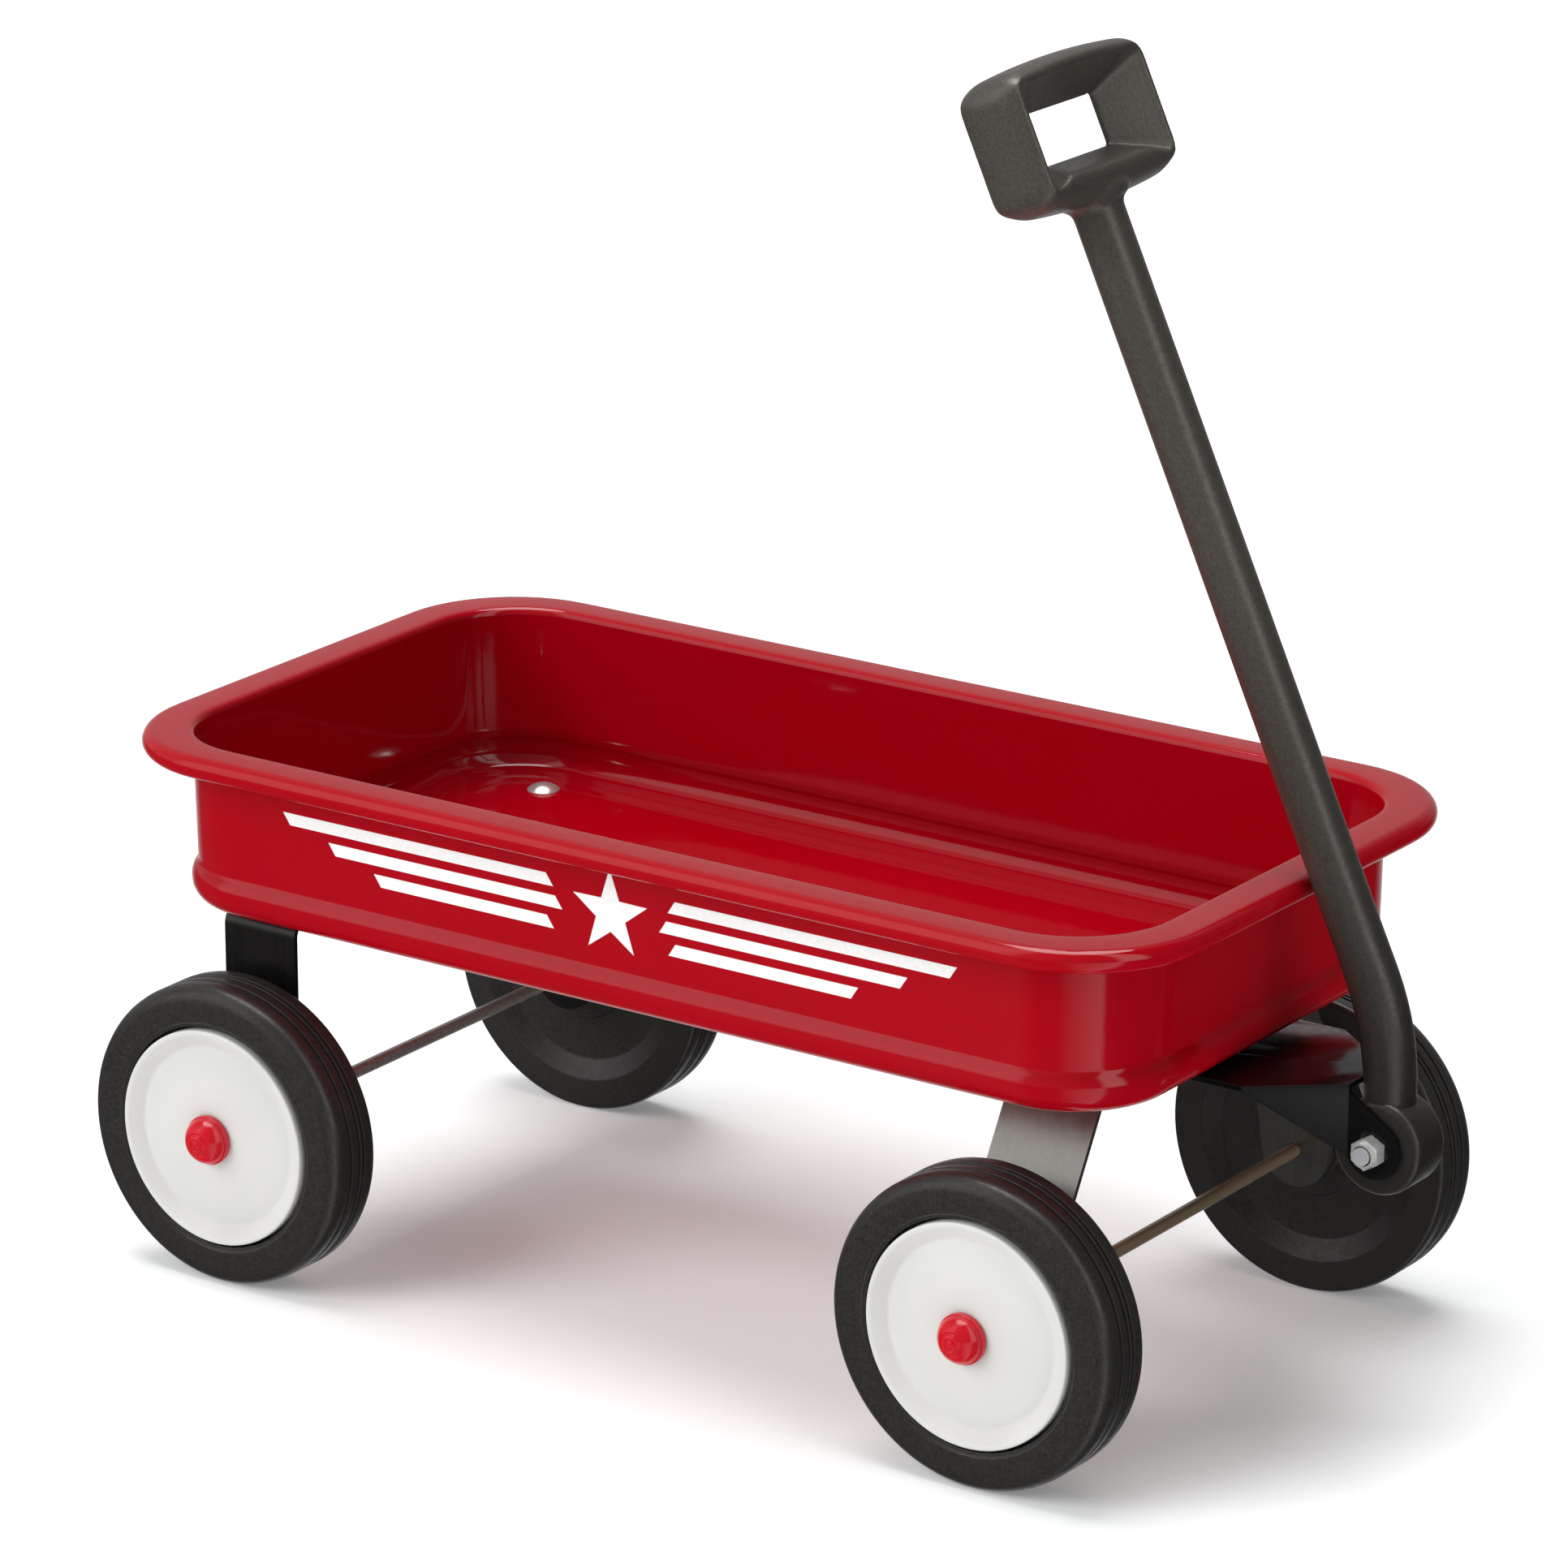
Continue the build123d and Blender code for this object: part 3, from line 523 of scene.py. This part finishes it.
rings = tray_rings()
count = len(rings[0])
points = [p for ring in rings for p in ring]
faces = [(i * count + k, i * count + (k + 1) % count, (i + 1) * count + (k + 1) % count, (i + 1) * count + k)
         for i in range(len(rings) - 1) for k in range(count)]
faces += [tuple(range(count)), tuple((len(rings) - 1) * count + k for k in range(count))]
make_piece("tray_pressed", points, faces, "chassis", RED, ["tray"], 60.0)


# ---------------------------------------------------------------- decoration on the tray's sides: stripes and a star

def wall_point(x, z, side, lift):
    return (x, side * (FOOT_HALF[1] - wall_inset(z) + lift), z)


def star(cx, cz, outer, inner):
    return [(cx + (outer if k % 2 == 0 else inner) * math.sin(math.pi * k / 5),
             cz + (outer if k % 2 == 0 else inner) * math.cos(math.pi * k / 5)) for k in range(10)]


def stripe(x0, x1, z, height, slant):
    """A level bar with slanted ends."""
    return [(x0, z - height / 2), (x1, z - height / 2), (x1 + slant, z + height / 2), (x0 + slant, z + height / 2)]


def decoration(name, side):
    shapes = [star(0, 134.6, 13.2, 5.2)]
    for way in (1, -1):
        for start, stop, z, height in ((19.5, 112, 140.6, 3.6), (16.5, 96, 134.4, 3.6), (19.5, 80, 128.2, 3.6)):
            bar = stripe(start, stop, z, height, 2.4)
            shapes.append([(way * x, zz) for x, zz in bar])
    points, faces = [], []
    for shape in shapes:
        base = len(points)
        n = len(shape)
        for lift in (-0.05, 0.07):
            points += [wall_point(TRAY_X + x, z, side, lift) for x, z in shape]
        faces.append(tuple(base + k for k in range(n)))
        faces.append(tuple(base + n + k for k in range(n)))
        faces += [(base + k, base + (k + 1) % n, base + n + (k + 1) % n, base + n + k) for k in range(n)]
    make_piece(name, points, faces, "chassis", PRINT, crease=30.0)


for side_name, side in SIDES.items():
    decoration(f"side_stripes_{side_name}", side)

# ---------------------------------------------------------------- handle

LEAN = math.radians(24.5)
hub_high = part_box("pull_handle")[1] / MM
sleeve_low, sleeve_high = (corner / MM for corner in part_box("pivot_sleeve"))
PIVOT = Vector(((sleeve_low.x + sleeve_high.x) / 2, 0, (sleeve_low.z + sleeve_high.z) / 2))
HUB_RADIUS, HUB_HALF = hub_high.x - PIVOT.x, 7.35
SHAFT_R = 7.2
BEND_Z, BEND_R, SHAFT_LENGTH = 118.4, 80.0, 236.0
ALONG = Vector((-math.sin(LEAN), 0, math.cos(LEAN)))
FACING = Vector((math.cos(LEAN), 0, math.sin(LEAN)))
CORNER = Vector((PIVOT.x, 0, BEND_Z))
NECK = CORNER + ALONG * SHAFT_LENGTH


def shaft_line():
    """Points, directions and swell of the shaft, from the hub to inside the grip."""
    reach = BEND_R * math.tan(LEAN / 2)
    middle = Vector((PIVOT.x - BEND_R, 0, BEND_Z - reach))
    line = [(Vector((PIVOT.x, 0, PIVOT.z + 4 + (BEND_Z - reach - PIVOT.z - 4) * k / 4)), 0.0) for k in range(4)]
    for k in range(17):
        angle = LEAN * k / 16
        line.append((middle + BEND_R * Vector((math.cos(angle), 0, math.sin(angle))), angle))
    start = CORNER + ALONG * reach
    line += [(start + ALONG * (SHAFT_LENGTH - reach - 9) * k / 40, LEAN) for k in range(1, 41)]
    line += [(NECK + ALONG * s, LEAN) for s in (-7, -5, -4, -3, -2.2, -1.6, -1.0, -0.5, 0, 0.4, 2, 4)]
    return line


def shaft_mesh():
    points, faces, sides = [], [], 40
    line = shaft_line()
    for centre, angle in line:
        forward = Vector((math.cos(angle), 0, math.sin(angle)))
        swell = 0.45 * math.exp(-(((centre.z - BEND_Z) / 16) ** 2))
        past = (centre - NECK).dot(ALONG) + 2.6
        flare = 0.0 if past < 0 else 3.2 - math.sqrt(max(0.0, 3.2**2 - min(past, 3.2) ** 2))
        for k in range(sides):
            t = 2 * math.pi * k / sides
            points.append(tuple(centre + forward * (SHAFT_R + swell + flare) * math.cos(t)
                                + Vector((0, 1, 0)) * (SHAFT_R + flare * 1.1) * math.sin(t)))
    for i in range(len(line) - 1):
        for k in range(sides):
            m = (k + 1) % sides
            faces.append((i * sides + k, i * sides + m, (i + 1) * sides + m, (i + 1) * sides + k))
    faces += [tuple(range(sides)), tuple((len(line) - 1) * sides + k for k in range(sides))]
    return points, faces


GRIP_MIDDLE = NECK + ALONG * 20.95 - FACING * 0.1
GRIP_DEPTH = 21.3
LIMB_LIFT = 0.5


def loop_points(half_w, half_h, half_side, corner, corner_steps=8, long_steps=14, short_steps=8):
    """A rounded rectangle with bowed long sides; the same count of points for any size."""
    ring = []
    for sx, sy, start in ((1, 1, 0), (-1, 1, 90), (-1, -1, 180), (1, -1, 270)):
        cx, cy = sx * (half_w - corner), sy * (half_side - corner)
        for k in range(corner_steps + 1):
            angle = math.radians(start + 90 * k / corner_steps)
            ring.append([cx + corner * math.cos(angle), cy + corner * math.sin(angle)])
        steps = long_steps if start in (0, 180) else short_steps
        last = ring[-1]
        if start in (0, 180):
            target = [-last[0], last[1]]
        else:
            target = [last[0], -last[1]]
        for k in range(1, steps):
            f = k / steps
            ring.append([last[0] + (target[0] - last[0]) * f, last[1] + (target[1] - last[1]) * f])
    for p in ring:
        share = max(0.0, 1 - (p[0] / half_w) ** 2)
        if abs(p[1]) > half_side * 0.55:
            p[1] += math.copysign((half_h - half_side) * share, p[1])
    return ring


def limb_section(crest, softness, count=9):
    """(share of the limb's width, share of half the depth) round one limb; crest is where it stands proudest."""
    waist, top = -0.123, 0.98
    lip_width, lip_drop = 0.03 + 0.2 * softness, 0.06 + 0.2 * softness
    section = []
    for way in (1, -1):
        quarter = [(crest * (1 - math.cos(t)), way * (0.11 + (top - 0.11) * math.sin(t))) for t in arc(count, 0, 90)]
        lip = [(crest + lip_width * math.sin(t), way * (top - lip_drop * (1 - math.cos(t)))) for t in arc(3, 0, 80)[1:]]
        start, height = lip[-1]
        funnel = [(start + (1 - start) * f, height + (waist - height) * f) for f in (0.2, 0.4, 0.6, 0.8)]
        half = quarter + lip + funnel
        section += half + [(1.0, waist)] if way > 0 else half[::-1]
    return section


def grip_mesh():
    """The loop grip: its limbs' section is carried round from the outer outline to the window."""
    outer = loop_points(32.7, 20.8, 18.9, 6.4)
    window = loop_points(15.9, 7.2, 7.2, 0.4)
    points, faces = [], []
    n = len(outer)
    for (ox, oy), (wx, wy) in zip(outer, window):
        blend = max(0.0, min(1.0, (abs(oy) / 20.8 - abs(ox) / 32.7 + 0.2) / 0.4))
        blend = blend * blend * (3 - 2 * blend)
        end_crest = 0.33 if oy > 0 else 0.46
        crest = 0.18 + (end_crest - 0.18) * blend
        section = limb_section(crest, blend * (0.3 if oy > 0 else 1.0))
        for share, depth in section:
            y = ox + (wx - ox) * share
            u = oy + (wy - oy) * share + LIMB_LIFT * math.sin(math.pi * share)
            points.append(tuple(GRIP_MIDDLE + Vector((0, y, 0)) + ALONG * u + FACING * depth * GRIP_DEPTH / 2))
    m = len(section)
    for i in range(n):
        j = (i + 1) % n
        for k in range(m):
            q = (k + 1) % m
            faces.append((i * m + k, i * m + q, j * m + q, j * m + k))
    return points, faces


def hub_mesh():
    profile = rounded([(4.15, -HUB_HALF, 0), (HUB_RADIUS, -HUB_HALF, 2.0), (HUB_RADIUS, HUB_HALF, 2.0),
                       (4.15, HUB_HALF, 0)])
    points, faces = [], []
    sides = 96
    for r, w in profile:
        for k in range(sides):
            t = 2 * math.pi * k / sides
            points.append((PIVOT.x + r * math.cos(t), w, PIVOT.z + r * math.sin(t)))
    rows = len(profile)
    for i in range(rows):
        j = (i + 1) % rows
        for k in range(sides):
            m = (k + 1) % sides
            faces.append((i * sides + k, i * sides + m, j * sides + m, j * sides + k))
    return points, faces


def joined(*meshes):
    points, faces = [], []
    for more_points, more_faces in meshes:
        base = len(points)
        points += more_points
        faces += [tuple(base + k for k in face) for face in more_faces]
    return points, faces


def blended(points, faces, voxel, smoothing):
    """One skin round overlapping forms, with soft joints between them."""
    mesh = bpy.data.meshes.new("blend_source")
    mesh.from_pydata([tuple(c * MM for c in p) for p in points], [], faces)
    tidy = bmesh.new()
    tidy.from_mesh(mesh)
    bmesh.ops.recalc_face_normals(tidy, faces=tidy.faces)
    tidy.to_mesh(mesh)
    tidy.free()
    source = bpy.data.objects.new("blend_source", mesh)
    bpy.context.scene.collection.objects.link(source)
    remesh = source.modifiers.new("skin", "REMESH")
    remesh.mode, remesh.voxel_size = "VOXEL", voxel * MM
    smooth = source.modifiers.new("soften", "SMOOTH")
    smooth.factor, smooth.iterations = 0.5, smoothing
    bpy.context.view_layer.update()
    result = bpy.data.meshes.new_from_object(source.evaluated_get(bpy.context.evaluated_depsgraph_get()))
    bpy.data.objects.remove(source)
    return result


skin = blended(*joined(shaft_mesh(), grip_mesh()), 0.62, 5)
hub_points, hub_faces = hub_mesh()
whole = bmesh.new()
whole.from_mesh(skin)
hub = bpy.data.meshes.new("hub")
hub.from_pydata([tuple(c * MM for c in p) for p in hub_points], [], hub_faces)
whole.from_mesh(hub)
bmesh.ops.recalc_face_normals(whole, faces=whole.faces)
whole.to_mesh(skin)
whole.free()
finish_piece("pull_handle_moulded", skin, "handle", HANDLE, ["pull_handle"], 40.0)

# ---------------------------------------------------------------- sheet metal with edges that catch the light

def softened(name, body, material, width):
    """The pressed plate's own form, with its sheared and folded edges rounded."""
    form = bmesh.new()
    form.from_mesh(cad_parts[name].data)
    bmesh.ops.remove_doubles(form, verts=form.verts, dist=1e-6)
    bmesh.ops.dissolve_limit(form, angle_limit=math.radians(1.0), verts=form.verts, edges=form.edges)
    sharp = [e for e in form.edges if len(e.link_faces) == 2 and e.calc_face_angle(0.0) > math.radians(35)]
    bmesh.ops.bevel(form, geom=sharp, offset=width * MM, offset_type="OFFSET", segments=2, profile=0.5,
                    affect="EDGES", clamp_overlap=True)
    mesh = bpy.data.meshes.new(name + "_pressed")
    form.to_mesh(mesh)
    form.free()
    return finish_piece(name + "_pressed", mesh, body, material, [name], 30.0)


softened("steering_tongue", "steering", GLOSS_BLACK, 0.3)

# ---------------------------------------------------------------- finishes of the CAD nodes that stay

FINISHES = {
    "rear_bolster": REAR_STRAP_SHADED, "front_bolster": FRONT_STRAP_LIT,
    "tongue_rivets": GLOSS_BLACK, "front_axle": ZINC_YELLOW, "rear_axle": AXLE_ZINC,
    "pivot_nut": lock_nut(*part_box("pivot_nut")), "pivot_bolt": ZINC_BRIGHT,
}
for name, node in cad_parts.items():
    if node.hide_render:
        continue
    node.data.materials.clear()
    node.data.materials.append(FINISHES.get(name, ZINC))

# ---------------------------------------------------------------- floor, light and camera

floor_mesh = bpy.data.meshes.new("floor")
floor_mesh.from_pydata([(-9, -9, 0), (9, -9, 0), (9, 9, 0), (-9, 9, 0)], [], [(0, 1, 2, 3)])
floor_mesh.materials.append(studio_floor())
floor = bpy.data.objects.new("floor", floor_mesh)
bpy.context.scene.collection.objects.link(floor)
floor.visible_glossy = False


def soft_sun(name, toward, spread, strength, reflected):
    """A far, broad light: toward points from the object to it, spread is its apparent size in degrees."""
    light = bpy.data.lights.new(name, "SUN")
    light.angle, light.energy = math.radians(spread), strength * math.pi
    lamp = bpy.data.objects.new(name, light)
    lamp.rotation_euler = Vector(toward).to_track_quat("Z", "Y").to_euler()
    lamp.visible_glossy = reflected
    bpy.context.scene.collection.objects.link(lamp)


soft_sun("overhead", (-0.15, 0.1, 1.0), 42, 0.64, True)
soft_sun("key", (-0.40, -0.80, 0.62), 36, 0.42, False)
soft_sun("fill", (-0.25, -0.95, 0.16), 50, 0.13, False)

world = bpy.data.worlds.new("studio")
world.use_nodes = True
bpy.context.scene.world = world
sky = world.node_tree


def sky_math(operation, *inputs):
    node = sky.nodes.new("ShaderNodeMath")
    node.operation = operation
    for i, value in enumerate(inputs):
        if isinstance(value, (int, float)):
            node.inputs[i].default_value = value
        else:
            sky.links.new(value, node.inputs[i])
    return node.outputs[0]


def sky_ramp(value, stops):
    node = sky.nodes.new("ShaderNodeValToRGB")
    elements = node.color_ramp.elements
    while len(elements) < len(stops):
        elements.new(0.5)
    for element, (position, grey) in zip(elements, stops):
        element.position, element.color = position, (grey, grey, grey, 1.0)
    sky.links.new(value, node.inputs["Fac"])
    return node.outputs["Color"]


direction = sky.nodes.new("ShaderNodeTexCoord").outputs["Generated"]
apart = sky.nodes.new("ShaderNodeSeparateXYZ")
sky.links.new(direction, apart.inputs["Vector"])
bearing = sky_math("ARCTAN2", apart.outputs["Y"], apart.outputs["X"])
turn = sky_math("ADD", sky_math("MULTIPLY", bearing, 0.5 / math.pi), 0.5)  # 0.5 is +X, 0.25 is -Y


def bearing_stops(*pairs):
    return [((degrees + 180.0) / 360.0, grey) for degrees, grey in pairs]


# Grey by bearing in degrees from +X. The low sky stands in for the table, which gloss does not mirror.
low_sky = sky_ramp(turn, bearing_stops(
    (-180, 0.06), (-132, 0.06), (-120, 0.14), (-100, 0.04), (-74, 0.06), (-28, 1.0),
    (-22, 0.05), (0, 0.01), (78, 0.02), (112, 0.62), (140, 0.62), (165, 0.06)))
high_sky = sky_ramp(turn, bearing_stops(
    (-180, 0.30), (-152, 0.4), (-142, 1.0), (-118, 1.0), (-106, 0.2), (-30, 0.10),
    (-24, 1.5), (-6, 1.5), (0, 0.06), (60, 0.06), (110, 0.40), (180, 0.36)))
above = sky.nodes.new("ShaderNodeMapRange")
for key, number in (("From Min", -0.06), ("From Max", 0.06)):
    above.inputs[key].default_value = number
sky.links.new(apart.outputs["Z"], above.inputs["Value"])
mix = sky.nodes.new("ShaderNodeMix")
mix.data_type = "RGBA"
sky.links.new(above.outputs["Result"], mix.inputs[0])
sky.links.new(low_sky, mix.inputs[6])
sky.links.new(high_sky, mix.inputs[7])
# Past the table's edge the camera sees plain white, while the sky goes on lighting the wagon.
backdrop = sky.nodes.new("ShaderNodeMix")
backdrop.data_type = "RGBA"
sky.links.new(sky.nodes.new("ShaderNodeLightPath").outputs["Is Camera Ray"], backdrop.inputs[0])
sky.links.new(mix.outputs[2], backdrop.inputs[6])
backdrop.inputs[7].default_value = (1.0, 1.0, 1.0, 1.0)
sky.links.new(backdrop.outputs[2], sky.nodes["Background"].inputs["Color"])
sky.nodes["Background"].inputs["Strength"].default_value = 1.0

bpy.context.scene.view_settings.view_transform = "Standard"

camera_data = bpy.data.cameras.new("camera")
camera_data.sensor_width = 36.0
camera_data.lens = 171.5
camera_data.shift_x = -0.0007
camera_data.clip_end = 50.0
camera = bpy.data.objects.new("camera", camera_data)
camera.location = (1.1292, -1.6422, 0.8111)
camera.rotation_euler = (Vector((-0.0178, 0, 0.1505)) - camera.location).to_track_quat("-Z", "Y").to_euler()
bpy.context.scene.collection.objects.link(camera)
bpy.context.scene.camera = camera
